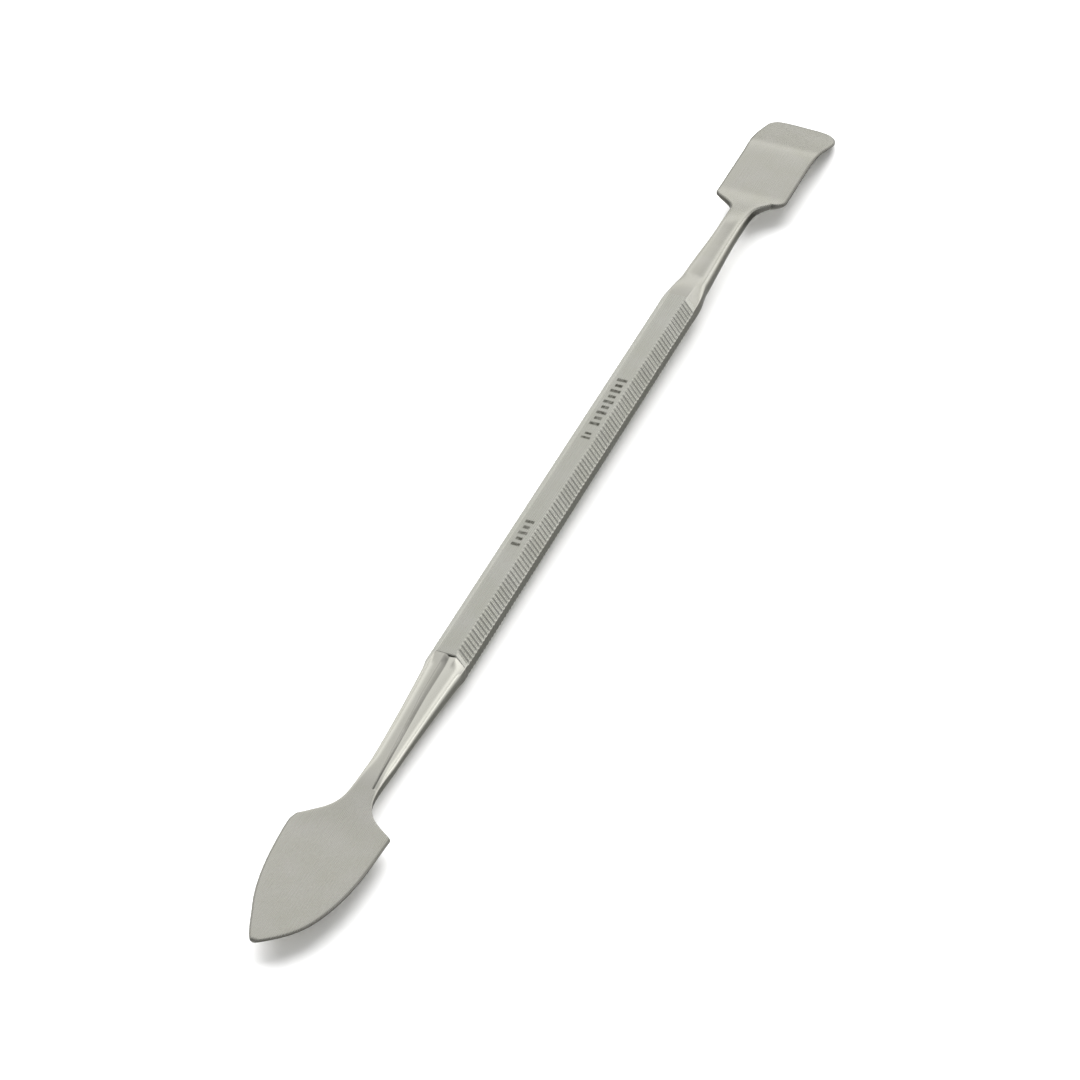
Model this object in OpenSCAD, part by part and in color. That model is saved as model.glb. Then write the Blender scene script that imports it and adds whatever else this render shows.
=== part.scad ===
// Double-ended metal spudger: an octagonal serrated handle bar with a forged leaf
// spade pressed into one end and a forged, bent chisel pressed into the other.
// X runs along the tool from the spade tip to the chisel edge, Y is to the left,
// Z is up. Z = 0 is the lowest point, which is the underside of the chisel edge.

/* [Overall] */
// Whole length, spade tip to chisel edge
total_len = 180; // [170:1:195]
// Distance from the spade tip to the handle's spade-side face
spade_reach = 51; // [48:0.5:55]
// Distance from the handle's chisel-side face to the chisel edge
chisel_reach = 52; // [49:0.5:56]

/* [Handle] */
// Handle width and height across its flats
handle_af = 5.0; // [4.4:0.1:6]
// Width of the top and bottom flats
top_flat_w = 2.6; // [2:0.1:3]
// Height of the two side flats
side_flat_h = 1.8; // [1.4:0.1:2.4]
// Spacing of the grip serrations
rib_pitch = 0.78; // [0.6:0.02:1.2]
// Depth of the grip serrations on the right-hand bevels
rib_depth = 0.16; // [0.1:0.01:0.3]
// Depth of the worn serrations on the left-hand bevels
worn_depth = 0.04; // [0.02:0.01:0.3]
// Plain length left between the serrations and each handle face
rib_margin = 0.5; // [0.3:0.1:3]

/* [Tangs] */
// Diameter of both tangs and of their sockets
tang_d = 2.4; // [2:0.1:2.8]
// Length of each tang
tang_len = 12; // [8:0.5:20]
// Air space left at the blind end of each socket
socket_relief = 0.5; // [0.2:0.1:2]

/* [Spade end] */
// Widest width of the leaf, at its shoulders
spade_w = 12.2; // [10:0.1:14]
// Tip to shoulder length of the leaf
spade_len = 21; // [18:0.5:24]
// Length over which the shoulders sweep in to the neck
shoulder_sweep = 2.2; // [1.6:0.1:3]
// Thickness of the leaf at its middle
spade_t = 1.0; // [0.8:0.1:1.4]
// Height of the leaf's upper face above the handle axis, at the shoulders
spade_rise = 0.9; // [0.7:0.1:1.2]
// Further rise of the upper face from the shoulders to the tip
tip_lift = 0.9; // [0:0.1:1.3]
// Sideways offset of the hand-ground tip
tip_skew = 1.1; // [0:0.1:1.3]
// Extra fullness of the leaf's right side
leaf_sway = 0.15; // [0:0.05:0.3]
// Thickness of the neck where it meets the leaf
spade_neck_d = 3.0; // [2.6:0.1:3.6]

/* [Crease] */
// Depth of the crease ground along the top of the spade neck, at the handle
crease_depth = 0.48; // [0.2:0.05:0.7]
// Distance of the crease to the left of the handle's centre line, at the handle
crease_side = 0.35; // [0:0.1:0.8]
// Distance from the spade tip at which the crease runs out
crease_end = 27.5; // [26:0.5:32]

/* [Chisel end] */
// Width of the chisel just past its shoulders
chisel_w = 9.8; // [8:0.1:12]
// Width gained by the flare at the chisel edge
chisel_flare = 0.8; // [0:0.1:1.5]
// Length of the chisel blade, shoulders to edge
chisel_len = 24.4; // [20:0.1:28]
// Length of the bent part at the edge
bend_len = 10.4; // [6:0.1:13]
// Downward angle of the bent part
bend_angle = 19; // [10:1:25]
// Length over which the bend is blended
bend_blend = 1.4; // [1:0.1:4]
// Thickness of the blade at its root
chisel_t = 1.0; // [0.8:0.1:1.4]
// Thickness of the blade at its edge
edge_t = 0.4; // [0.3:0.05:0.8]
// Depth of the blade's upper face below the handle axis
chisel_fall = 0.2; // [0:0.1:0.6]
// Length of the rounding of the left-hand corner of the edge
left_round = 2.4; // [1:0.1:4]
// Length of the rounding of the right-hand corner of the edge
right_round = 4.4; // [1:0.1:6]
// How far the edge is ground out of square
edge_skew = 0.5; // [0:0.1:1]
// Thickness of the neck where it meets the blade
chisel_neck_d = 3.2; // [2.8:0.1:4]

/* [Hidden] */
$fn = 64;
eps = 0.01;
half_len = total_len / 2;
half_af = handle_af / 2;
face_a = spade_reach;
face_b = total_len - chisel_reach;
handle_len = face_b - face_a;
bevel_y = half_af - top_flat_w / 2;
bevel_z = half_af - side_flat_h / 2;
bevel_len = sqrt(bevel_y * bevel_y + bevel_z * bevel_z);
bevel_tilt = atan2(bevel_y, bevel_z);
rib_n = floor((handle_len - 2 * rib_margin) / rib_pitch);
rib_start = face_a + (handle_len - rib_n * rib_pitch) / 2;
cutter_h = 1;
side_steps = 4;
ring_n = 8 * side_steps;

// Octagon corners as [y, z], anticlockwise from the lower left side
oct = [[half_af, -side_flat_h / 2], [half_af, side_flat_h / 2],
       [top_flat_w / 2, half_af], [-top_flat_w / 2, half_af],
       [-half_af, side_flat_h / 2], [-half_af, -side_flat_h / 2],
       [-top_flat_w / 2, -half_af], [top_flat_w / 2, -half_af]];
function oct_pt(i) =
    let (k = floor(i / side_steps), f = (i % side_steps) / side_steps)
    oct[k] * (1 - f) + oct[(k + 1) % 8] * f;

function clamp01(v) = max(0, min(1, v));
function ease(v) = let (c = clamp01(v)) c * c * (3 - 2 * c);
function mix(a, b, v) = a + (b - a) * v;
function sgn_pow(v, p) = sign(v) * pow(abs(v), p);
// Soft ramp: zero well below v = 0 and equal to v well above it
function ramp(v, soft) = (v + sqrt(v * v + soft * soft)) / 2;

// Loss of width at distance d inside a rounding rx long and ry wide
function corner(d, rx, ry) = let (v = clamp01(d / rx)) ry * (1 - sqrt(1 - v * v));

// Point of a cross-section in direction a: left and right half widths, edge height ze,
// up and dn from the edge line, qu and qd say how square its two halves are
function ring_pt(a, left, right, ze, up, dn, qu, qd) =
    let (top = sin(a) >= 0, q = top ? qu : qd, w = cos(a) >= 0 ? left : right)
    [w * sgn_pow(cos(a), 2 / q), ze + (top ? up : dn) * sgn_pow(sin(a), 2 / q)];

// ---- Spade end, measured as s from the spade tip ----
leaf_power = 2.65;
leaf_round = 0.7;
leaf_flare = 0.025;
skew_span = 5;
sway_span = 18;
tip_blunt = 0.3;
neck_root = 27;
neck_power = 1.8;
sweep_power = 1.3;
shoulder_cut = 0.42;
shoulder_soft = 0.9;
shoulder_lag = 0.2;
neck_face_w = handle_af * 0.4975;
spade_edge_up = 0.25;
neck_q = 2.3;
rise_lead = 3;
rise_len = 15;
least_rise = 0.6;
tip_thin = 0.55;
thin_len = 8;
round_lag = 2;
round_len = 10;
under_q = 2.2;
blade_q = 8;
belly_q = 2.6;
function leaf_half(s) = let (u = clamp01(s / spade_len))
    spade_w / 2 * (1 - leaf_flare * (1 - pow(u, 6)))
    * pow(1 - pow(1 - u, leaf_power), leaf_round) + tip_blunt * exp(-2 * s);
function leaf_mid(s) = tip_skew * pow(1 - clamp01(s / skew_span), 2)
    - leaf_sway * sin(180 * clamp01(s / sway_span));
function neck_w(s) = mix(spade_neck_d / 2, neck_face_w,
    pow(clamp01((s - neck_root) / (spade_reach - neck_root)), neck_power));
function spade_half(s, cut) =
    (s <= spade_len ? leaf_half(s)
     : neck_w(s) + (leaf_half(spade_len) - neck_w(s))
       * exp(-pow((s - spade_len) / shoulder_sweep, sweep_power)))
    - cut * exp(-pow((s - spade_len - shoulder_lag) / shoulder_soft, 2));
function spade_mix(s) = ease((s - spade_len + rise_lead) / rise_len);
function spade_top(s) = mix(max(spade_rise + tip_lift * (1 - s / spade_len), least_rise),
                            neck_w(s), spade_mix(s));
function spade_mid(s) = mix(spade_top(s) - spade_edge_up, 0, spade_mix(s));
function spade_bot(s) = mix(spade_top(s) - mix(tip_thin, 1, ease(s / thin_len)) * spade_t,
                            -neck_w(s), spade_mix(s));

// The crease has a steep left wall and a sloping facet on its right. Ring points:
// left lobe, wall, facet, then the underside
left_n = 9;
facet_n = 9;
under_n = ring_n - left_n - facet_n - 1;
wall_share = 0.1;
crease_run = spade_reach - crease_end;
crease_end_side = 0.9;
crease_power = 0.4;
face_blend = 2;
end_rise = 0.45;
end_blend = 1.6;
facet_reach = 0.85;
facet_power = 1.1;
function crease_y(s) = mix(-crease_end_side, crease_side, clamp01((s - crease_end) / crease_run));
function crease_d(s) = crease_depth * pow(clamp01((s - crease_end) / crease_run), crease_power)
    * (1 - end_rise * ease((s - spade_reach + end_blend) / end_blend));
function spade_turn(s, q) = let (share = (leaf_mid(s) - crease_y(s)) / spade_half(s, 0))
    90 + asin(sgn_pow(max(-0.8, min(0.8, share)), q / 2));
function spade_dir(i, turn, wall) =
    i < left_n ? turn * i / left_n
    : i == left_n ? turn
    : i <= left_n + facet_n ? mix(wall, 180, (i - left_n - 1) / facet_n)
    : 180 + 180 * (i - left_n - facet_n) / (under_n + 1) - 90 / (under_n + 1);
function spade_drop(i) = let (f = (i - left_n - 1) / facet_n)
    f < 0 || f > 1 ? 0 : pow(clamp01(1 - f / facet_reach), facet_power);
// The same direction as p, on the handle's octagon
function octagon_pt(p) = let (n = norm(p), c = abs(p[0]) / n, d = abs(p[1]) / n,
        bevel = (half_af * bevel_y + top_flat_w / 2 * bevel_z) / bevel_len)
    p / n * neck_face_w
    / max(c, d, (c * bevel_z + d * bevel_y) / bevel_len * half_af / bevel);
function spade_ring(s) =
    let (m = spade_mix(s), qu = mix(blade_q, neck_q, ease((s - spade_len - round_lag) / round_len)),
         turn = spade_turn(s, qu), wall = mix(turn, 180, wall_share),
         o = ease((s - spade_reach + face_blend) / face_blend))
    [for (i = [0:ring_n - 1])
        let (p = ring_pt(spade_dir(i, turn, wall), spade_half(s, shoulder_cut), spade_half(s, 0),
                         spade_mid(s), spade_top(s) - spade_mid(s),
                         spade_mid(s) - spade_bot(s), qu, mix(belly_q, under_q, m)),
             r = mix(p, octagon_pt(p), o))
        [s - half_len, r[0] + leaf_mid(s), axis_z + r[1] - crease_d(s) * spade_drop(i)]];
spade_s = concat([0, 0.1, 0.25, 0.5, 0.8, 1.2, 1.7, 2.3], [for (v = [3:1:8]) v],
                 [for (v = [9.5:1.5:17]) v],
                 [18, 19, 19.8, 20.4, 20.8, 21, 21.3, 21.7, 22.1, 22.5, 22.9, 23.4, 23.9,
                  24.5, 25.2, 26, 27, 27.6, 28.2, 29, 30, 31.5, 33, 35, 37.5, 40, 42.5, 45,
                  47, 48.8, 49.4, 50]);
function spade_stations() = concat([for (s = spade_s) if (s < spade_reach - 0.5) s],
                                   [spade_reach]);

// ---- Chisel end, measured as s from the spade tip ----
chisel_root = total_len - chisel_len;
root_sweep = 1.6;
root_power = 1.5;
left_root = 0.3;
right_root = 1.6;
left_round_w = left_round / 2;
right_round_share = 0.61;
right_round_w = right_round * right_round_share;
left_step = 0.34;
// How nearly the neck's first section follows the handle's octagon
oct_share = 0.96;
oct_fade = 6;
chisel_edge_up = 0.2;
chisel_neck_q = 3;
chisel_under_q = 2.8;
bend_s = total_len - bend_len;
skew_start = 9;
skew_reach = 8.5;
// The chisel neck falls to a first waist, then tapers on towards the blade
waist_extra = 0.5;
waist_len = 6;
taper_start = 3;
taper_len = 16;
left_step_len = 2.5;
left_fade = 0.3;
left_fade_start = 4;
left_fade_len = 8;
flare_start = 10;
flare_len = 9;
neck_lead = 9;
neck_fade = 11;
blade_under_q = 3.5;
thin_power = 1.5;
function chisel_neck(s) = mix(
    mix(half_af, chisel_neck_d / 2 + waist_extra, ease((s - face_b) / waist_len)),
    chisel_neck_d / 2, ease((s - face_b - taper_start) / taper_len));
function chisel_neck_left(s) = chisel_neck(s) - left_step * ease((s - face_b) / left_step_len)
    * (1 - left_fade * ease((s - face_b - left_fade_start) / left_fade_len));
function blade_w(s) = chisel_w / 2
    + chisel_flare / 2 * ease((s - chisel_root - flare_start) / flare_len);
function chisel_half(s, neck, rx, ry, root_r) = s >= chisel_root
    ? blade_w(s) - corner(s - total_len + rx, rx, ry)
      - corner(chisel_root + root_r - s, root_r, root_r)
    : neck + (blade_w(chisel_root) - root_r - neck)
      * exp(-pow((chisel_root - s) / root_sweep, root_power));
function chisel_mix(s) = 1 - ease((s - chisel_root + neck_lead) / neck_fade);
function bend_fall(s) = tan(bend_angle) * (ramp(s - bend_s, bend_blend)
    - ramp(chisel_root - bend_s, bend_blend));
function blade_top(s) = -chisel_fall - max(0, bend_fall(max(s, chisel_root)));
function blade_t(s) = mix(chisel_t, edge_t, pow(clamp01((s - chisel_root) / chisel_len), thin_power));
function chisel_top(s) = mix(blade_top(s), chisel_neck(s), chisel_mix(s));
function chisel_mid(s) = mix(blade_top(s) - chisel_edge_up, 0, chisel_mix(s));
function chisel_bot(s) = mix(blade_top(s) - blade_t(s), -chisel_neck(s), chisel_mix(s));
// The edge is longest at the start of its left-hand rounding
edge_reach = (chisel_w + chisel_flare) / 2 - left_round_w;
function edge_shift(s, y) = -edge_skew * pow(max(edge_reach - y, 0) / skew_reach, 2)
    * ease((s - total_len + skew_start) / skew_start);
function chisel_ring(s) = let (m = chisel_mix(s), o = oct_share * (1 - ease((s - face_b) / oct_fade)))
    [for (i = [0:ring_n - 1])
        let (c = oct_pt(i),
             p = ring_pt(atan2(c[1], c[0]),
                         chisel_half(s, chisel_neck_left(s), left_round, left_round_w, left_root),
                         chisel_half(s, chisel_neck(s), right_round, right_round_w, right_root),
                         chisel_mid(s), chisel_top(s) - chisel_mid(s),
                         chisel_mid(s) - chisel_bot(s), mix(blade_q, chisel_neck_q, m),
                         mix(blade_under_q, chisel_under_q, m)),
             r = mix(p, c, o))
        [s - half_len + edge_shift(s, r[0]), r[0], axis_z + r[1]]];
// Distances back from the chisel edge
chisel_back = concat([0, 0.05, 0.15, 0.3, 0.5, 0.8, 1.2, 1.6, 2.4, 3.2, 4.4, 5.5, 6.5, 7.5],
                     [for (v = [8.2:0.7:12.4]) v],
                     [14, 16, 18, 20, 22, 22.6, 23.1, 23.5, 23.9, 24.15, 24.38, 24.7, 25.1,
                      25.6, 26.1, 26.7, 27.5, 28.5, 30, 32, 34.5, 37, 39, 41, 43, 44.5, 46, 47,
                      47.8, 48.6, 49.4, 50, 50.6, 51.2]);
function chisel_stations() = concat([face_b],
    [for (i = [len(chisel_back) - 1:-1:0])
        if (chisel_back[i] < chisel_reach - 0.4) total_len - chisel_back[i]]);

// Height of the handle axis, so that the chisel edge's underside is at zero
axis_z = -chisel_bot(total_len);

// Skin through a list of rings, closed at both ends
module skin(rings) {
    n = len(rings[0]);
    m = len(rings);
    polyhedron(
        points = [for (r = rings) for (p = r) p],
        faces = concat(
            [[for (i = [0:n - 1]) i]],
            [for (k = [0:m - 2]) for (i = [0:n - 1]) let (j = (i + 1) % n)
                each [[k * n + i, (k + 1) * n + i, (k + 1) * n + j],
                      [k * n + i, (k + 1) * n + j, k * n + j]]],
            [[for (i = [n - 1:-1:0]) (m - 1) * n + i]]),
        convexity = 6);
}

// Cylinder along X, from x0 with the given length
module bar_x(x0, length, d) {
    translate([x0, 0, axis_z]) rotate([0, 90, 0]) cylinder(h = length, d = d);
}

// Row of vee cutters, lying along X with the points down
module rib_cutter(depth) {
    rotate([90, 0, 0])
        linear_extrude(height = bevel_len + 2, center = true)
            polygon(concat(
                [for (i = [0:rib_n - 1]) each [[i * rib_pitch, 0],
                                               [(i + 0.5) * rib_pitch, -depth]]],
                [[rib_n * rib_pitch, 0], [rib_n * rib_pitch, cutter_h], [0, cutter_h]]));
}

// The four serrated bevels
module serrations() {
    for (my = [0, 1], mz = [0, 1])
        translate([rib_start - half_len, 0, axis_z])
            mirror([0, my, 0]) mirror([0, 0, mz])
                translate([0, half_af - bevel_y / 2, half_af - bevel_z / 2])
                    rotate([-90 + bevel_tilt, 0, 0]) rib_cutter(my == 1 ? rib_depth : worn_depth);
}

module handle() {
    color("Silver") difference() {
        translate([face_a - half_len, 0, axis_z]) rotate([90, 0, 90])
            linear_extrude(height = handle_len) polygon(oct);
        serrations();
        bar_x(face_a - half_len - eps, tang_len + socket_relief + eps, tang_d);
        bar_x(face_b - half_len - tang_len - socket_relief,
              tang_len + socket_relief + eps, tang_d);
    }
}

module spade_end() {
    color("Gainsboro") {
        skin([for (s = spade_stations()) spade_ring(s)]);
        bar_x(face_a - half_len - eps, tang_len + eps, tang_d);
    }
}

module chisel_end() {
    color("LightGray") {
        skin([for (s = chisel_stations()) chisel_ring(s)]);
        bar_x(face_b - half_len - tang_len, tang_len + eps, tang_d);
    }
}

handle();
spade_end();
chisel_end();
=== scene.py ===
"""Looks of the double-ended metal spudger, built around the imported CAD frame. Metres."""
import math

import bpy
import numpy as np
from mathutils import Matrix, Vector


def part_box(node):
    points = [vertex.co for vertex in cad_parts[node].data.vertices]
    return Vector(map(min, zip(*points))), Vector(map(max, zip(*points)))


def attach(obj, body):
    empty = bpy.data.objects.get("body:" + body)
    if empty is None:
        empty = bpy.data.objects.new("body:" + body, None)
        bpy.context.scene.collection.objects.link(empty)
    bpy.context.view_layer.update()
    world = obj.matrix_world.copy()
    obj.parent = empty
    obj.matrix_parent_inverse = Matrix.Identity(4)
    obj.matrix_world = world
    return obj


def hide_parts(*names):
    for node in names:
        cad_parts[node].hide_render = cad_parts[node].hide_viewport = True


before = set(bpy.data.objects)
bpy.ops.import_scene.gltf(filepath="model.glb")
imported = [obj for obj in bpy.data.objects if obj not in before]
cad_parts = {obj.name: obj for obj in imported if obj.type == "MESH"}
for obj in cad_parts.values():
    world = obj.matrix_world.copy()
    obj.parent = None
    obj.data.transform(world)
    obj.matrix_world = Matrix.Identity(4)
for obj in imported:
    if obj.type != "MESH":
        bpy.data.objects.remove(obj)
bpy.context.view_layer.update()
MM = 0.001

# ---------------------------------------------------------------- sizes, from the CAD boxes
handle_lo, handle_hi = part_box("handle")
spade_lo, spade_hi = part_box("spade_end")
_, chisel_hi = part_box("chisel_end")
X_TIP = spade_lo.x / MM
X_EDGE = chisel_hi.x / MM
TOTAL = X_EDGE - X_TIP
FACE_A = handle_lo.x / MM - X_TIP
FACE_B = handle_hi.x / MM - X_TIP
AXIS_Z = (handle_lo.z + handle_hi.z) / 2 / MM
HALF_AF = (handle_hi.z - handle_lo.z) / 2 / MM
SPADE_W = -2 * spade_lo.y / MM
TANG_LEN = spade_hi.x / MM - X_TIP - FACE_A

# the handle's section and grip
TOP_FLAT = 2.6
SIDE_FLAT = 1.8
RIB_PITCH = 0.78
RIB_DEPTH = 0.16
WORN_DEPTH = 0.04
RIB_MARGIN = 0.5
CORNER_R = 0.3
TANG_R = 1.2
SOCKET_RELIEF = 0.5

rng = np.random.default_rng(7)


# ---------------------------------------------------------------- shape helpers
def clamp01(v):
    return np.clip(v, 0.0, 1.0)


def ease(v):
    c = clamp01(v)
    return c * c * (3 - 2 * c)


def mix(a, b, t):
    return a + (b - a) * t


def ramp(v, soft):
    return (v + np.sqrt(v * v + soft * soft)) / 2


def corner(d, rx, ry):
    """Loss of width at distance d inside a rounding rx long and ry wide."""
    v = clamp01(d / rx)
    return ry * (1 - np.sqrt(1 - v * v))


SIDE_PTS = 10
CORNER_PTS = 7
RING = 8 * (SIDE_PTS + CORNER_PTS)


def octagon(corner_r=CORNER_R, right_in=0.0, left_in=0.0):
    """Rounded octagon as RING points [y, z], its right and left bevels moved in."""
    h, t, s = HALF_AF, TOP_FLAT / 2, SIDE_FLAT / 2
    by, bz = h - t, h - s
    n = math.hypot(by, bz)

    def cuts(inward):
        return t - inward * n / bz, s - inward * n / by

    tr, sr = cuts(right_in)
    tl, sl = cuts(left_in)
    c = np.array([[h, -sl], [h, sl], [tl, h], [-tr, h], [-h, sr], [-h, -sr], [-tr, -h], [tl, -h]])
    pts = []
    for k in range(8):
        a, b, d, e = c[k - 1], c[k], c[(k + 1) % 8], c[(k + 2) % 8]

        def cut(p, q, r):
            u, w = (p - q) / np.linalg.norm(p - q), (r - q) / np.linalg.norm(r - q)
            length = corner_r * math.tan((math.pi - math.acos(float(u @ w))) / 2)
            return q + u * length, q + w * length

        p0, p2 = cut(a, b, d)
        q0, _ = cut(b, d, e)
        for j in range(CORNER_PTS):
            f = j / (CORNER_PTS - 1)
            pts.append((1 - f) ** 2 * p0 + 2 * f * (1 - f) * b + f * f * p2)
        for j in range(1, SIDE_PTS + 1):
            pts.append(mix(p2, q0, j / (SIDE_PTS + 1)))
    return np.array(pts)


BASE_OCT = octagon()
ANGLE = np.arctan2(BASE_OCT[:, 1], BASE_OCT[:, 0])


def section(ang, left, right, ze, up, dn, qu, qd):
    """One cross-section: left and right half widths, edge height ze, up and dn from it."""
    c, s = np.cos(ang), np.sin(ang)
    q = np.where(s >= 0, qu, qd)
    y = np.where(c >= 0, left, right) * np.sign(c) * np.abs(c) ** (2 / q)
    z = ze + np.where(s >= 0, up, dn) * np.sign(s) * np.abs(s) ** (2 / q)
    return np.stack([y, z], 1)


# ---------------------------------------------------------------- spade end
SPADE_LEN = 21.0
LEAF_POWER = 2.65
LEAF_ROUND = 0.7
LEAF_FLARE = 0.025
TIP_BLUNT = 0.3
TIP_SKEW = 1.1
LEAF_SWAY = 0.15
SPADE_T = 1.0
SPADE_RISE = 0.9
TIP_LIFT = 0.9
NECK_R = 1.5
SWEEP_LEN = 2.2
LEFT_CUT = 0.42
SHOULDER_SOFT = 0.9
NECK_FACE = HALF_AF * 0.995
NECK_ROOT = 27
NECK_POWER = 1.8
SKEW_SPAN = 5
SWAY_SPAN = 18
SWEEP_POWER = 1.3
SHOULDER_LAG = 0.2
LEAST_RISE = 0.6
EDGE_DROP = 0.25
TIP_THIN, THIN_LEN = 0.55, 8
RISE_LEAD, RISE_LEN = 3, 15


def leaf_half(s):
    u = clamp01(s / SPADE_LEN)
    full = SPADE_W / 2 * (1 - LEAF_FLARE * (1 - u ** 6))
    return full * (1 - (1 - u) ** LEAF_POWER) ** LEAF_ROUND + TIP_BLUNT * np.exp(-2 * s)


def leaf_mid(s):
    sway = np.sin(np.pi * clamp01(s / SWAY_SPAN))
    return TIP_SKEW * (1 - clamp01(s / SKEW_SPAN)) ** 2 - LEAF_SWAY * sway


def neck_w(s):
    v = clamp01((s - NECK_ROOT) / (FACE_A - NECK_ROOT))
    return mix(NECK_R, NECK_FACE, v ** NECK_POWER)


def spade_half(s, cut):
    """Half width; cut is the rounding of that side's shoulder."""
    sweep = np.exp(-(np.maximum(s - SPADE_LEN, 0) / SWEEP_LEN) ** SWEEP_POWER)
    body = neck_w(s) + (leaf_half(SPADE_LEN) - neck_w(s)) * sweep
    soft = cut * np.exp(-((s - SPADE_LEN - SHOULDER_LAG) / SHOULDER_SOFT) ** 2)
    return np.where(s <= SPADE_LEN, leaf_half(s), body) - soft


def spade_mix(s):
    return ease((s - SPADE_LEN + RISE_LEAD) / RISE_LEN)


def spade_top(s):
    lift = SPADE_RISE + TIP_LIFT * (1 - s / SPADE_LEN)
    return mix(np.maximum(lift, LEAST_RISE), neck_w(s), spade_mix(s))


def spade_mid(s):
    return mix(spade_top(s) - EDGE_DROP, 0, spade_mix(s))


def spade_bot(s):
    thick = mix(TIP_THIN, 1, ease(s / THIN_LEN)) * SPADE_T
    return mix(spade_top(s) - thick, -neck_w(s), spade_mix(s))


# the crease down the neck, between the tall left lobe and the lower right one
CREASE_END = 27.5
CREASE_DEPTH = 0.48
CREASE_SIDE = 0.35
END_RISE = 0.45
END_BLEND = 1.6
CREASE_RUNOUT = -0.9
CREASE_POWER = 0.4
FACET_REACH, FACET_POWER = 0.85, 1.1
BLADE_Q, NECK_Q, BELLY_Q, UNDER_Q = 8, 2.3, 2.6, 2.2
ROUND_LAG, ROUND_LEN = 2, 10
LEFT_PTS, WALL_PTS, RIGHT_PTS = 32, 4, 32
WALL_END = LEFT_PTS + WALL_PTS
UNDER_PTS = RING - WALL_END - RIGHT_PTS
MOST_SHARE = 0.8
WALL_SHARE = 0.1
FACE_BLEND = 2.0


def crease_y(s):
    v = clamp01((FACE_A - s) / (FACE_A - CREASE_END))
    return mix(CREASE_SIDE, CREASE_RUNOUT, v)


def crease_depth(s):
    along = clamp01((s - CREASE_END) / (FACE_A - CREASE_END))
    shallow = 1 - END_RISE * ease((s - FACE_A + END_BLEND) / END_BLEND)
    return CREASE_DEPTH * along ** CREASE_POWER * shallow


def octagon_along(ring):
    """The handle's octagon, a little smaller, in the directions of a ring's points."""
    a = np.arctan2(ring[:, 1], ring[:, 0])
    c, d = np.abs(np.cos(a)), np.abs(np.sin(a))
    by, bz = HALF_AF - TOP_FLAT / 2, HALF_AF - SIDE_FLAT / 2
    n = math.hypot(by, bz)
    bevel = (HALF_AF * by + TOP_FLAT / 2 * bz) / n
    reach = NECK_FACE / np.maximum(np.maximum(c, d), (c * bz + d * by) / n * HALF_AF / bevel)
    return np.stack([reach * np.cos(a), reach * np.sin(a)], 1)


def spade_section(s):
    s = float(s)
    m = float(spade_mix(s))
    left, right = float(spade_half(s, LEFT_CUT)), float(spade_half(s, 0.0))
    qu = mix(BLADE_Q, NECK_Q, float(ease((s - SPADE_LEN - ROUND_LAG) / ROUND_LEN)))
    share = min(MOST_SHARE, max(0, float(leaf_mid(s) - crease_y(s)) / right))
    turn = math.pi / 2 + math.asin(share ** (qu / 2))
    wall = turn + (math.pi - turn) * WALL_SHARE
    lobe = np.linspace(0, 1, RIGHT_PTS + 1)[1:]
    facet = clamp01(1 - lobe / FACET_REACH) ** FACET_POWER
    ang = np.concatenate([np.linspace(0, turn, LEFT_PTS, endpoint=False),
                          np.linspace(turn, wall, WALL_PTS),
                          mix(wall, math.pi, lobe),
                          np.linspace(math.pi, 2 * math.pi, UNDER_PTS + 1, endpoint=False)[1:]])
    drop = np.concatenate([np.zeros(LEFT_PTS), np.linspace(0, 1, WALL_PTS), facet,
                           np.zeros(UNDER_PTS)])
    mid = float(spade_mid(s))
    r = section(ang, left, right, mid, float(spade_top(s)) - mid, mid - float(spade_bot(s)),
                qu, mix(BELLY_Q, UNDER_Q, m))
    r = mix(r, octagon_along(r), float(ease((s - FACE_A + FACE_BLEND) / FACE_BLEND)))
    r[:, 0] += float(leaf_mid(s))
    r[:, 1] -= float(crease_depth(s)) * drop
    return r


# painted shade on the crease's wall across, its change along the neck, and the painted shade band
# along the right edge
WALL_SHADE = (0.5, 1.1, 1.3, 1.2, 0.4)
LOW_SHADE, HIGH_SHADE, SHADE_START, SHADE_LEN = 1.2, 0.75, 30, 8
EDGE_BAND, EDGE_SHADE = slice(WALL_END + RIGHT_PTS - 9, WALL_END + RIGHT_PTS - 2), 0.5
# painted shade taken off near the handle's face: how much, where it starts and how long it fades
FACE_UNSHADE, FACE_UNSHADE_START, FACE_UNSHADE_LEN = 0.8, 0.5, 0.4
# painted sheen on the neck: left of the crease, right of it, and the extra by the handle
LEFT_BRIGHT, RIGHT_BRIGHT, NEAR_BRIGHT = 0.35, 1.0, 0.25
BRIGHT_FADE, BRIGHT_LEN, NEAR_LEN = 0.85, 4, 5


def crease_painted_shade(s):
    """Painted shade on the crease's wall and in a band along the neck's right edge, on the ring's
    points.
    """
    out = np.zeros(RING)
    if s > CREASE_END:
        out[LEFT_PTS:WALL_END + 1] = WALL_SHADE
        out[EDGE_BAND] = EDGE_SHADE
    unshade = FACE_UNSHADE * ease((s - FACE_A + FACE_UNSHADE_START) / FACE_UNSHADE_LEN)
    return out * float(mix(LOW_SHADE, HIGH_SHADE, ease((s - SHADE_START) / SHADE_LEN)) * (1 - unshade))


def neck_painted_sheen(s):
    """Painted sheen either side of the crease, brightest on the right by the handle and fading
    across the right lobe.
    """
    out = np.zeros(RING)
    near = NEAR_BRIGHT * float(ease((s - FACE_A + NEAR_LEN) / NEAR_LEN))
    share = np.linspace(0, 1, RIGHT_PTS)
    out[WALL_END:WALL_END + RIGHT_PTS] = (RIGHT_BRIGHT + near) * (1 - BRIGHT_FADE * share)
    out[:LEFT_PTS] = LEFT_BRIGHT
    return out * float(ease((s - CREASE_END) / BRIGHT_LEN))


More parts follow.
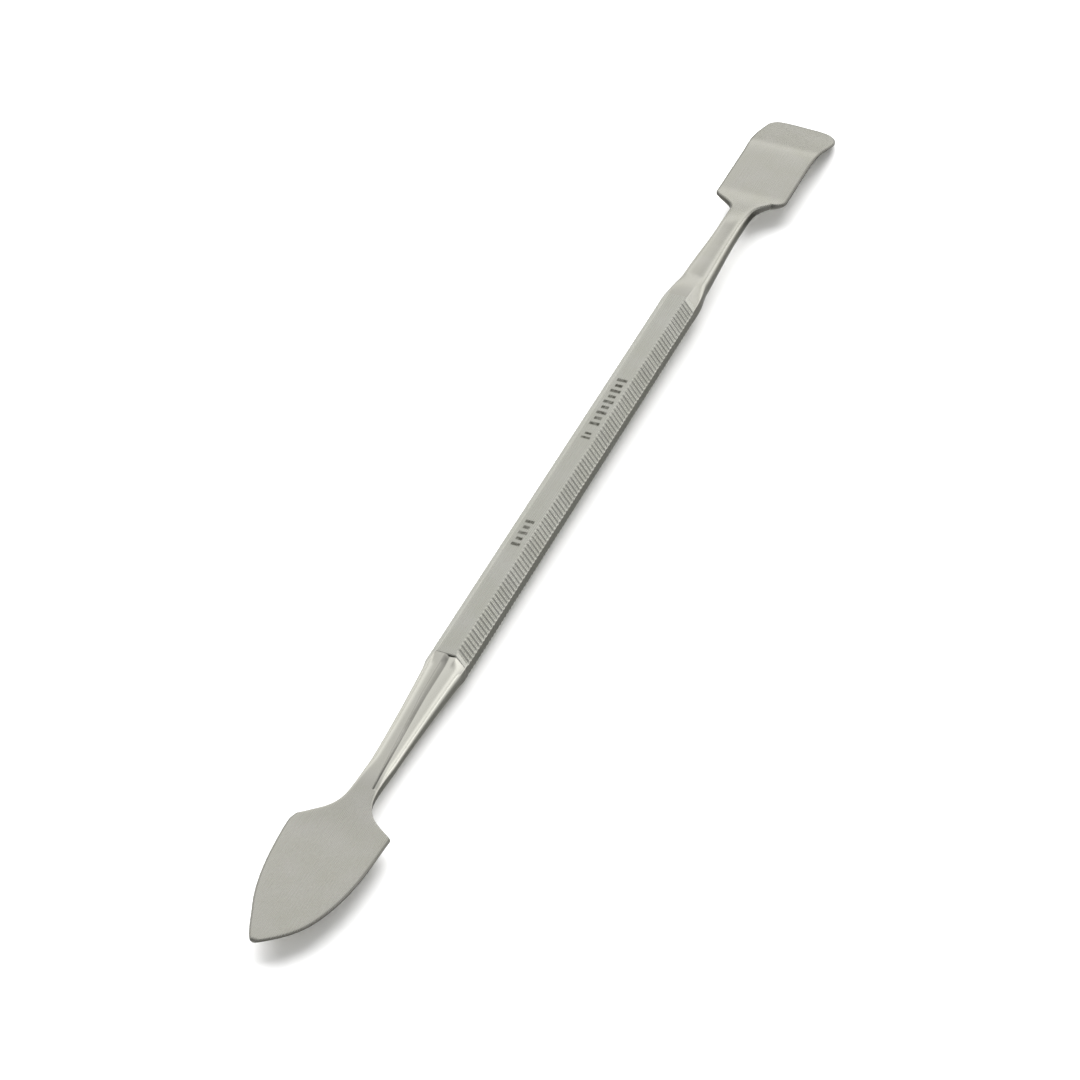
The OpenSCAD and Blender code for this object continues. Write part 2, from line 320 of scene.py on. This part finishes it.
# ---------------------------------------------------------------- chisel end
CHISEL_LEN = 24.4
CHISEL_W = 9.8
CHISEL_FLARE = 0.8
BEND_LEN = 10.4
BEND_ANGLE = math.radians(19)
BEND_BLEND = 1.4
EDGE_T = 0.4
CHISEL_FALL = 0.2
EDGE_SKEW = 0.007
ROOT = TOTAL - CHISEL_LEN
BEND_S = TOTAL - BEND_LEN
CHISEL_NECK = 1.6
ROOT_SWEEP = 1.6
# rounding of the left and right corners: at the edge (long, wide) and at the root
LEFT_END, RIGHT_END = (2.4, 1.2), (4.4, 2.7)
LEFT_ROOT, RIGHT_ROOT = 0.3, 1.6
# the neck falls to a first waist, then tapers on towards the blade
WAIST_EXTRA, WAIST_LEN = 0.5, 6
TAPER_START, TAPER_LEN = 3, 16
LEFT_STEP, LEFT_STEP_LEN = 0.34, 2.5
LEFT_FADE, LEFT_FADE_START, LEFT_FADE_LEN = 0.3, 4, 8
FLARE_START, FLARE_LEN = 10, 9
ROOT_POWER = 1.5
NECK_LEAD, NECK_FADE = 9, 11
CHISEL_T, THIN_POWER = 1.0, 1.5
CHISEL_EDGE_DROP = 0.2
CHISEL_NECK_Q, CHISEL_BLADE_UNDER_Q, CHISEL_UNDER_Q = 3.0, 3.5, 2.8
SKEW_START = 9


def chisel_neck(s):
    a = mix(HALF_AF, CHISEL_NECK + WAIST_EXTRA, ease((s - FACE_B) / WAIST_LEN))
    return mix(a, CHISEL_NECK, ease((s - FACE_B - TAPER_START) / TAPER_LEN))


def chisel_neck_left(s):
    fade = LEFT_FADE * ease((s - FACE_B - LEFT_FADE_START) / LEFT_FADE_LEN)
    return chisel_neck(s) - LEFT_STEP * ease((s - FACE_B) / LEFT_STEP_LEN) * (1 - fade)


def blade_w(s):
    return CHISEL_W / 2 + CHISEL_FLARE / 2 * ease((s - ROOT - FLARE_START) / FLARE_LEN)


def chisel_half(s, neck, end, root_r):
    rounded = corner(s - TOTAL + end[0], *end) + corner(ROOT + root_r - s, root_r, root_r)
    blade = blade_w(s) - rounded
    sweep = np.exp(-(np.maximum(ROOT - s, 0) / ROOT_SWEEP) ** ROOT_POWER)
    return np.where(s >= ROOT, blade, neck + (blade_w(ROOT) - root_r - neck) * sweep)


def chisel_mix(s):
    return 1 - ease((s - ROOT + NECK_LEAD) / NECK_FADE)


def blade_top(s):
    s = np.maximum(s, ROOT)
    fall = ramp(s - BEND_S, BEND_BLEND) - ramp(ROOT - BEND_S, BEND_BLEND)
    return -CHISEL_FALL - np.maximum(0, math.tan(BEND_ANGLE) * fall)


def blade_t(s):
    return mix(CHISEL_T, EDGE_T, clamp01((s - ROOT) / CHISEL_LEN) ** THIN_POWER)


def chisel_section(s):
    s = float(s)
    m = float(chisel_mix(s))
    top = float(mix(blade_top(s), chisel_neck(s), m))
    mid = float(mix(blade_top(s) - CHISEL_EDGE_DROP, 0, m))
    bot = float(mix(blade_top(s) - blade_t(s), -chisel_neck(s), m))
    left = float(chisel_half(s, chisel_neck_left(s), LEFT_END, LEFT_ROOT))
    right = float(chisel_half(s, chisel_neck(s), RIGHT_END, RIGHT_ROOT))
    r = section(ANGLE, left, right, mid, top - mid, mid - bot, mix(BLADE_Q, CHISEL_NECK_Q, m),
                mix(CHISEL_BLADE_UNDER_Q, CHISEL_UNDER_Q, m))
    return mix(r, BASE_OCT, 1 - float(ease((s - FACE_B) / WAIST_LEN)))


def edge_shift(s, ring):
    """The chisel edge is ground slightly out of square, longest on the left."""
    reach = blade_w(TOTAL) - LEFT_END[1]
    share = float(ease((s - TOTAL + SKEW_START) / SKEW_START))
    return -EDGE_SKEW * np.maximum(reach - ring[:, 0], 0) ** 2 * share


# ---------------------------------------------------------------- mesh building
def rings_to_mesh(name, rings, wear_and_sheen, polish, painted_shade):
    """rings: list of (N, 3) arrays in mm, joined by quads, closed at both ends by an n-gon fan."""
    n = len(rings[0])
    co = np.concatenate(rings) * MM
    faces = []
    for k in range(len(rings) - 1):
        a, b = k * n, (k + 1) * n
        for i in range(n):
            j = (i + 1) % n
            faces.append((a + i, b + i, b + j, a + j))
    faces.append(tuple(range(n)))
    last = (len(rings) - 1) * n
    faces.append(tuple(last + i for i in reversed(range(n))))
    me = bpy.data.meshes.new(name)
    me.from_pydata([tuple(c) for c in co], [], faces)
    me.validate()
    me.update()
    # colour masks: wear_and_sheen is painted sheen on the spade's neck and wear on the handle,
    # painted_shade is painted shade; polish only lowers roughness
    for key_name, values in (("wear_and_sheen", wear_and_sheen), ("polish", polish), ("painted_shade", painted_shade)):
        at = me.attributes.new(key_name, "FLOAT", "POINT")
        at.data.foreach_set("value", np.concatenate(values).astype(np.float32))
    me.polygons.foreach_set("use_smooth", [True] * len(me.polygons))
    me.set_sharp_from_angle(angle=math.radians(38))
    ob = bpy.data.objects.new(name, me)
    bpy.context.scene.collection.objects.link(ob)
    return ob


def place(s, ring, shift=0.0):
    return np.column_stack([np.full(len(ring), s + X_TIP) + shift, ring[:, 0], AXIS_Z + ring[:, 1]])


def circle(r):
    return np.stack([r * np.cos(ANGLE), r * np.sin(ANGLE)], 1)


# 1 on the middle of each rounded long edge of the octagon, 0 on its flats
corner_mask = np.zeros(RING)
for side in range(8):
    for step in range(CORNER_PTS):
        worn_edge = math.sin(math.pi * (step + 0.5) / CORNER_PTS)
        corner_mask[side * (SIDE_PTS + CORNER_PTS) + step] = worn_edge

# the ribs: points along each, shallowest share of the depth, roundness; bevels and end chamfer
RIB_STEPS = 10
LEAST_RIB = 0.82
RIB_POWER = 0.85
BEVEL_SINE = 0.62
FACE_CHAMFER = 0.1


def build_handle():
    """The grip bar with its rolled ribs, closed inside by its two sockets."""
    n_ribs = int((FACE_B - FACE_A - 2 * RIB_MARGIN) / RIB_PITCH)
    start = FACE_A + (FACE_B - FACE_A - n_ribs * RIB_PITCH) / 2
    depth = RIB_DEPTH * rng.uniform(LEAST_RIB, 1.0, n_ribs)
    bevels = np.abs(np.sin(2 * ANGLE)) > BEVEL_SINE
    rings, wear_and_sheen = [], []

    def add(s, ring, w):
        rings.append(place(s, ring))
        wear_and_sheen.append(w)

    none = np.zeros(RING)
    length = TANG_LEN + SOCKET_RELIEF
    add(FACE_A + length, circle(TANG_R), none)
    add(FACE_A, circle(TANG_R), none)
    add(FACE_A, octagon() * (1 - FACE_CHAMFER / HALF_AF), none)
    add(FACE_A + FACE_CHAMFER, octagon(), corner_mask)
    add(start, octagon(), corner_mask)
    for i in range(n_ribs):
        for j in range(1, RIB_STEPS + 1):
            f = j / RIB_STEPS
            d = depth[i] * (0.5 - 0.5 * math.cos(2 * math.pi * f)) ** RIB_POWER
            crest = 1 - d / RIB_DEPTH
            w = np.maximum(corner_mask, np.where(bevels, crest, 0))
            ring = octagon(right_in=d, left_in=d * WORN_DEPTH / RIB_DEPTH)
            add(start + (i + f) * RIB_PITCH, ring, w)
    add(FACE_B, octagon(), corner_mask)
    add(FACE_B, circle(TANG_R), none)
    add(FACE_B - length, circle(TANG_R), none)
    return rings_to_mesh("handle_bar", rings[::-1], wear_and_sheen[::-1], [none] * len(rings),
                          [none] * len(rings))


def dense(a, b, step):
    """Evenly spaced stations from a to b, about step apart."""
    return np.linspace(a, b, max(2, int(round((b - a) / step)) + 1))


# where the painted shade on the rims and edges of both ends starts and how far it fades, in mm
RIM_START, RIM_LEN = 0.05, 0.3
TIP_RIM = 0.35
EDGE_RIM, EDGE_RIM_LEN = 0.4, 0.3
SHOULDER_UNSHADE, SHOULDER_UNSHADE_START, SHOULDER_UNSHADE_LEN = 0.6, 0.8, 1.5
BENT_SHADE, BENT_START, BENT_LEN = 0.05, 0.4, 1.2
TANG_CHAMFER, TANG_CHAMFER_IN = 0.3, 0.25


def rim(ring, neck_share):
    """How much of a blade section is edge, for its painted shade: 1 on its rounded rim, 0 on the
    ground face.
    """
    inset = np.minimum(ring[:, 0].max() - ring[:, 0], ring[:, 0] - ring[:, 0].min())
    return (1 - ease((inset - RIM_START) / RIM_LEN)) * (1 - neck_share)


def spade_painted_shade(s, edge):
    """Painted shade on the rim of the leaf, fading past its shoulders, on its tip and on the
    crease's wall.
    """
    tip = float(1 - ease((s - RIM_START) / TIP_RIM))
    past = float(ease((s - SPADE_LEN - SHOULDER_UNSHADE_START) / SHOULDER_UNSHADE_LEN))
    return np.maximum(np.maximum(edge * (1 - SHOULDER_UNSHADE * past), tip), crease_painted_shade(s))


def chisel_painted_shade(s, edge):
    """Painted shade on the rim of the chisel, on its edge and, a little, on its bent part."""
    front = float(ease((s - TOTAL + EDGE_RIM) / EDGE_RIM_LEN))
    bent = BENT_SHADE * float(ease((s - BEND_S - BENT_START) / BENT_LEN))
    return np.maximum(np.maximum(edge, front), bent)


def build_end(name, stations, make, face, inner, polished, shift=None):
    """A working end: its skin, then its tang. inner is the tang's far end."""
    rings, wear_and_sheen, polish, painted_shade = [], [], [], []
    none = np.zeros(RING)
    for s in map(float, stations):
        ring = make(s)
        share = float(polished(s))
        is_spade = make is spade_section
        rings.append(place(s, ring, shift(s, ring) if shift else 0.0))
        # painted sheen on the spade's neck; painted shade on the rims of both ends
        wear_and_sheen.append(neck_painted_sheen(s) if is_spade else none)
        polish.append(np.full(RING, share))
        painted_shade.append((spade_painted_shade if is_spade else chisel_painted_shade)(s, rim(ring, share)))
    tang = [(face, TANG_R), (inner + math.copysign(TANG_CHAMFER, face - inner), TANG_R),
            (inner, TANG_R - TANG_CHAMFER_IN)]
    for s, r in tang:
        rings.append(place(s, circle(r)))
        wear_and_sheen.append(none)
        polish.append(none)
        painted_shade.append(none)
    if rings[0][0, 0] < rings[-1][0, 0]:
        rings, wear_and_sheen, polish, painted_shade = rings[::-1], wear_and_sheen[::-1], polish[::-1], painted_shade[::-1]
    return rings_to_mesh(name, rings, wear_and_sheen, polish, painted_shade)


def merged(*spans):
    """All the stations of the spans, sorted, each once."""
    return np.unique(np.round(np.concatenate(spans), 4))


# stations along each end, closest where its shape turns: tip, shoulders, roots and edge
spade_s = merged([0, 0.03, 0.08, 0.16, 0.28, 0.42, 0.6, 0.8], dense(1, 20, 0.25),
                 dense(20, 23, 0.06), dense(23, 30, 0.12), dense(30, FACE_A, 0.3))
chisel_s = merged(dense(FACE_B, FACE_B + 6, 0.12), dense(FACE_B + 6, ROOT - 5, 0.3),
                  dense(ROOT - 5, ROOT + 1.2, 0.06), dense(ROOT + 1.2, TOTAL - 2, 0.25),
                  dense(TOTAL - 2, TOTAL - 0.3, 0.08),
                  TOTAL - np.array([0.2, 0.12, 0.06, 0.02, 0]))[::-1]

handle = build_handle()
spade = build_end("spade_blade_and_neck", spade_s, spade_section, FACE_A, FACE_A + TANG_LEN,
                  lambda v: ease((v - 25) / 5))
chisel = build_end("chisel_blade_and_neck", chisel_s, chisel_section, FACE_B, FACE_B - TANG_LEN,
                   lambda v: 1 - ease((v - ROOT + 8) / 6), edge_shift)
for piece, node, slot in ((handle, "handle", "handle_steel"), (spade, "spade_end", "blade_steel"),
                          (chisel, "chisel_end", "blade_steel")):
    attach(piece, "root")
    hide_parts(node)


# ---------------------------------------------------------------- materials
def node(tree, kind, **values):
    n = tree.nodes.new(kind)
    for k, v in values.items():
        if hasattr(n, k):
            setattr(n, k, v)
        else:
            n.inputs[k.replace("_", " ")].default_value = v
    return n


# etched bars on the top flat: start along the tool, spacing, count, middle and height across (mm)
MARKS = ((FACE_A + 21.2, 1.15, 5, 0.1, 1.15), (FACE_A + 44.0, 0.9, 2, 0.0, 1.2),
         (FACE_A + 46.9, 1.2, 9, 0.0, 1.35))
# a bar's share of its spacing, its soft borders, and how much shorter every other bar is
BAR_HALF, BAR_SOFT, SPAN_SOFT, ACROSS_SOFT = 0.24, 0.1, 0.01, 0.07
SHORTER = 0.14


def etched_bars(t, position):
    """Mask of plain cross bars, one where the steel is etched dark."""
    sep = t.nodes.new("ShaderNodeSeparateXYZ")
    t.links.new(position, sep.inputs["Vector"])
    ragged = node(t, "ShaderNodeTexNoise", Scale=2600.0, Detail=2.0)
    t.links.new(position, ragged.inputs["Vector"])

    def math_node(operation, a, b=None, c=None):
        n = node(t, "ShaderNodeMath", operation=operation)
        for k, v in enumerate((a, b, c)):
            if v is None:
                continue
            if isinstance(v, (int, float)):
                n.inputs[k].default_value = v
            else:
                t.links.new(v, n.inputs[k])
        return n.outputs[0]

    def inside(value, half, soft):
        m = node(t, "ShaderNodeMapRange", interpolation_type="SMOOTHSTEP")
        m.inputs["From Min"].default_value = half + soft
        m.inputs["From Max"].default_value = half - soft
        t.links.new(math_node("ABSOLUTE", value), m.inputs["Value"])
        return m.outputs["Result"]

    total = None
    for start, pitch, count, middle, tall in MARKS:
        along = math_node("MULTIPLY_ADD", sep.outputs["X"], 1 / (pitch * MM),
                          -(X_TIP + start) / pitch)
        window = inside(math_node("SUBTRACT", along, count / 2), count / 2, SPAN_SOFT)
        stripe = inside(math_node("SUBTRACT", math_node("FRACT", along), 0.5), BAR_HALF, BAR_SOFT)
        across = math_node("MULTIPLY_ADD", sep.outputs["Y"], 1 / MM, -middle)
        # every other bar is shorter
        half = math_node("MULTIPLY_ADD", math_node("PINGPONG", math_node("FLOOR", along), 1.0),
                         -SHORTER * tall, tall / 2)
        level = math_node("SUBTRACT", math_node("ABSOLUTE", across), half)
        edge = node(t, "ShaderNodeMapRange", interpolation_type="SMOOTHSTEP")
        edge.inputs["From Min"].default_value = ACROSS_SOFT
        edge.inputs["From Max"].default_value = -ACROSS_SOFT
        t.links.new(level, edge.inputs["Value"])
        bars = math_node("MULTIPLY", math_node("MULTIPLY", window, stripe), edge.outputs["Result"])
        total = bars if total is None else math_node("ADD", total, bars)
    top = math_node("GREATER_THAN", sep.outputs["Z"], (AXIS_Z + HALF_AF - 0.1) * MM)
    worn = node(t, "ShaderNodeMapRange")
    worn.inputs["From Min"].default_value = 0.35
    worn.inputs["From Max"].default_value = 0.6
    worn.inputs["To Min"].default_value = 0.55
    worn.inputs["To Max"].default_value = 0.95
    t.links.new(ragged.outputs["Fac"], worn.inputs["Value"])
    return math_node("MULTIPLY", math_node("MULTIPLY", total, top), worn.outputs["Result"])


# darkest and lightest mottling of the base colour, and the colour gain for the painted sheen on the
# spade's neck and the wear on the handle's edges
DARK_MOTTLE, LIGHT_MOTTLE, SHEEN_AND_WEAR_GAIN = (0.965, 0.965, 0.945), (1.025, 1.02, 1.035), 1.5
GRAIN_SCALE = (90, 9000, 9000)
# painted shade on steep faces (their level, and the normal height where flats begin), the colour
# lost where painted shade is marked, the roughness lost where polished, and the grain's roughness
# spread
STEEP_SHADE_LEVEL, FLAT_FROM = 0.33, 0.45
SHADE_LOSS, POLISH_LOSS = -0.5, -0.05
SMOOTH_BY, ROUGH_BY = 0.035, 0.045
INK = (0.07, 0.07, 0.055, 1)


def tinted(base, gains):
    return tuple(b * g for b, g in zip(base, gains)) + (1,)


def steel(name, base, rough, sheen_and_wear_gain, marks=False):
    """Satin steel with painted shade on steep sides, painted sheen (and wear on the handle) where
    marked, and painted shade where marked.
    """
    mat = bpy.data.materials.new(name)
    mat.use_nodes = True
    t = mat.node_tree
    bsdf = t.nodes["Principled BSDF"]
    bsdf.inputs["Metallic"].default_value = 1.0
    bsdf.inputs["Specular Tint"].default_value = (0.45, 0.45, 0.44, 1)
    coord = t.nodes.new("ShaderNodeTexCoord")
    # long fine scratches along the tool
    stretch = node(t, "ShaderNodeMapping")
    stretch.inputs["Scale"].default_value = GRAIN_SCALE
    t.links.new(coord.outputs["Object"], stretch.inputs["Vector"])
    grain = node(t, "ShaderNodeTexNoise", Scale=1.0, Detail=3.0, Roughness=0.6)
    t.links.new(stretch.outputs["Vector"], grain.inputs["Vector"])
    # soft mottling
    blotch = node(t, "ShaderNodeTexNoise", Scale=260.0, Detail=4.0, Roughness=0.55)
    t.links.new(coord.outputs["Object"], blotch.inputs["Vector"])
    tint = t.nodes.new("ShaderNodeValToRGB")
    tint.color_ramp.elements[0].position = 0.3
    tint.color_ramp.elements[1].position = 0.7
    tint.color_ramp.elements[0].color = tinted(base, DARK_MOTTLE)
    tint.color_ramp.elements[1].color = tinted(base, LIGHT_MOTTLE)
    t.links.new(blotch.outputs["Fac"], tint.inputs["Fac"])
    # painted sheen on the spade's neck, and wear on the handle's edges and rib crests, read from
    # the mesh attribute
    worn = node(t, "ShaderNodeAttribute", attribute_name="wear_and_sheen")
    bright = t.nodes.new("ShaderNodeMix")
    bright.data_type = "RGBA"
    bright.inputs["B"].default_value = tinted(base, [SHEEN_AND_WEAR_GAIN] * 3)
    scale = node(t, "ShaderNodeMath", operation="MULTIPLY")
    scale.inputs[1].default_value = sheen_and_wear_gain
    t.links.new(worn.outputs["Fac"], scale.inputs[0])
    t.links.new(scale.outputs[0], bright.inputs["Factor"])
    t.links.new(tint.outputs["Color"], bright.inputs["A"])
    # painted shade: sides and edges are darkened by how steep their normal is, below the ground
    # flats
    geom = t.nodes.new("ShaderNodeNewGeometry")
    sep = t.nodes.new("ShaderNodeSeparateXYZ")
    t.links.new(geom.outputs["Normal"], sep.inputs["Vector"])
    steep = node(t, "ShaderNodeMath", operation="ABSOLUTE")
    t.links.new(sep.outputs["Z"], steep.inputs[0])
    steep_shade = node(t, "ShaderNodeMapRange", interpolation_type="SMOOTHSTEP")
    steep_shade.inputs["From Min"].default_value = 0.0
    steep_shade.inputs["From Max"].default_value = FLAT_FROM
    steep_shade.inputs["To Min"].default_value = STEEP_SHADE_LEVEL
    steep_shade.inputs["To Max"].default_value = 1.0
    t.links.new(steep.outputs[0], steep_shade.inputs["Value"])
    # painted shade where the mesh attribute marks it: blade rims, tips, the chisel's edge and bent
    # part, the crease's wall
    shade_mark = node(t, "ShaderNodeAttribute", attribute_name="painted_shade")
    keep = node(t, "ShaderNodeMath", operation="MULTIPLY_ADD")
    keep.inputs[1].default_value = SHADE_LOSS
    keep.inputs[2].default_value = 1.0
    t.links.new(shade_mark.outputs["Fac"], keep.inputs[0])
    level = node(t, "ShaderNodeMath", operation="MULTIPLY")
    t.links.new(keep.outputs[0], level.inputs[0])
    t.links.new(steep_shade.outputs["Result"], level.inputs[1])
    shade = node(t, "ShaderNodeVectorMath", operation="SCALE")
    t.links.new(bright.outputs["Result"], shade.inputs["Vector"])
    t.links.new(level.outputs[0], shade.inputs["Scale"])
    colour = shade.outputs["Vector"]
    if marks:
        mask = etched_bars(t, coord.outputs["Object"])
        ink = t.nodes.new("ShaderNodeMix")
        ink.data_type = "RGBA"
        ink.inputs["B"].default_value = INK
        t.links.new(mask, ink.inputs["Factor"])
        t.links.new(colour, ink.inputs["A"])
        colour = ink.outputs["Result"]
    t.links.new(colour, bsdf.inputs["Base Color"])
    # roughness
    rr = node(t, "ShaderNodeMapRange")
    rr.inputs["From Min"].default_value = 0.25
    rr.inputs["From Max"].default_value = 0.75
    rr.inputs["To Min"].default_value = rough - SMOOTH_BY
    rr.inputs["To Max"].default_value = rough + ROUGH_BY
    t.links.new(grain.outputs["Fac"], rr.inputs["Value"])
    shiny = node(t, "ShaderNodeAttribute", attribute_name="polish")
    smoother = node(t, "ShaderNodeMath", operation="MULTIPLY_ADD")
    smoother.inputs[1].default_value = POLISH_LOSS
    t.links.new(shiny.outputs["Fac"], smoother.inputs[0])
    t.links.new(rr.outputs["Result"], smoother.inputs[2])
    t.links.new(smoother.outputs[0], bsdf.inputs["Roughness"])
    bump = node(t, "ShaderNodeBump")
    bump.inputs["Strength"].default_value = 0.035
    bump.inputs["Distance"].default_value = 0.00002
    t.links.new(grain.outputs["Fac"], bump.inputs["Height"])
    t.links.new(bump.outputs["Normal"], bsdf.inputs["Normal"])
    return mat


handle_mat = steel("handle_satin_steel", (0.485, 0.485, 0.44), 0.27, 0.12, marks=True)
blade_mat = steel("ground_blade_steel", (0.48, 0.475, 0.43), 0.27, 0.9)
handle.data.materials.append(handle_mat)
spade.data.materials.append(blade_mat)
chisel.data.materials.append(blade_mat)

# ---------------------------------------------------------------- floor, light, camera
lean = math.atan2(handle_lo.z, chisel_hi.x - handle_lo.x)
floor_me = bpy.data.meshes.new("floor")
FLOOR_HALF = 4.0
floor_me.from_pydata([(x * FLOOR_HALF, y * FLOOR_HALF, 0)
                      for x, y in ((-1, -1), (1, -1), (1, 1), (-1, 1))], [], [(0, 1, 2, 3)])
floor = bpy.data.objects.new("floor", floor_me)
bpy.context.scene.collection.objects.link(floor)
floor.matrix_world = Matrix.Translation((chisel_hi.x, 0, 0)) @ Matrix.Rotation(lean, 4, "Y")
floor_mat = bpy.data.materials.new("floor_white")
floor_mat.use_nodes = True
fb = floor_mat.node_tree.nodes["Principled BSDF"]
fb.inputs["Base Color"].default_value = (0.94, 0.94, 0.94, 1)
fb.inputs["Roughness"].default_value = 0.9
fb.inputs["Specular IOR Level"].default_value = 0.1
floor_me.materials.append(floor_mat)

# a dome that is bright in front of the tool (+X) and dim behind the viewer, brightest low down
world = bpy.data.worlds.new("studio")
bpy.context.scene.world = world
world.use_nodes = True
wt = world.node_tree
bg = wt.nodes["Background"]
wc = wt.nodes.new("ShaderNodeTexCoord")
sep = wt.nodes.new("ShaderNodeSeparateXYZ")
wt.links.new(wc.outputs["Generated"], sep.inputs["Vector"])
height = wt.nodes.new("ShaderNodeValToRGB")
wt.links.new(sep.outputs["Z"], height.inputs["Fac"])
# sine of the height above the horizon, then the light there
DOME = ((0.0, 1.06), (0.1, 1.16), (0.22, 1.45), (0.44, 1.42), (0.54, 1.08), (0.64, 0.88),
        (1.0, 0.84))
ramp_el = height.color_ramp.elements
ramp_el[0].position, ramp_el[1].position = DOME[0][0], DOME[-1][0]
for at, _ in DOME[1:-1]:
    ramp_el.new(at)
for el_, (_, v) in zip(ramp_el, DOME):
    el_.color = (v, v, v, 1)
facing = wt.nodes.new("ShaderNodeVectorMath")
facing.operation = "DOT_PRODUCT"
FRONT_AZ = math.radians(25)
BACK_LIGHT = 0.38
facing.inputs[1].default_value = (math.cos(FRONT_AZ), math.sin(FRONT_AZ), 0)
wt.links.new(wc.outputs["Generated"], facing.inputs[0])
front = wt.nodes.new("ShaderNodeMapRange")
front.interpolation_type = "SMOOTHSTEP"
front.inputs["From Min"].default_value = -0.35
front.inputs["From Max"].default_value = 0.25
wt.links.new(facing.outputs["Value"], front.inputs["Value"])
sky = wt.nodes.new("ShaderNodeMix")
sky.data_type = "RGBA"
sky.inputs["A"].default_value = (BACK_LIGHT, BACK_LIGHT, BACK_LIGHT, 1)
wt.links.new(front.outputs["Result"], sky.inputs["Factor"])
wt.links.new(height.outputs["Color"], sky.inputs["B"])
wt.links.new(sky.outputs["Result"], bg.inputs["Color"])


def floor_light(name, size, power, azimuth, elevation, distance):
    """A round soft light aimed at the middle of the tool; the steel doesn't reflect it."""
    light = bpy.data.lights.new(name, "AREA")
    light.shape = "DISK"
    light.size = size
    light.energy = power
    ob = bpy.data.objects.new(name, light)
    bpy.context.scene.collection.objects.link(ob)
    az, el = math.radians(azimuth), math.radians(elevation)
    at = Vector((math.cos(az) * math.cos(el), math.sin(az) * math.cos(el), math.sin(el))) * distance
    ob.location = at
    ob.rotation_euler = (-at).to_track_quat("-Z", "Y").to_euler()
    ob.visible_glossy = False


# a soft key over the far left of the tool and a weak fill light the floor; the dome the steel
floor_light("key", 2.2, 42.0, 34, 60, 1.4)
floor_light("fill", 1.6, 1.2, -50, 42, 1.4)

cam = bpy.data.cameras.new("camera")
cam.sensor_width = 36.0
cam.lens = 140.06
cam.clip_start = 0.01
cam_ob = bpy.data.objects.new("camera", cam)
bpy.context.scene.collection.objects.link(cam_ob)
AZ, EL, DIST = math.radians(22.33), math.radians(39.8), 0.5213
target = Vector(((X_TIP + 80.16) * MM, -0.09 * MM, handle_lo.z))
back = Vector((-math.cos(AZ) * math.cos(EL), -math.sin(AZ) * math.cos(EL), math.sin(EL)))
cam_ob.location = target + back * DIST
cam_ob.rotation_euler = (-back).to_track_quat("-Z", "Y").to_euler()
bpy.context.scene.camera = cam_ob
bpy.context.scene.view_settings.view_transform = "Standard"
bpy.context.scene.view_settings.look = "None"
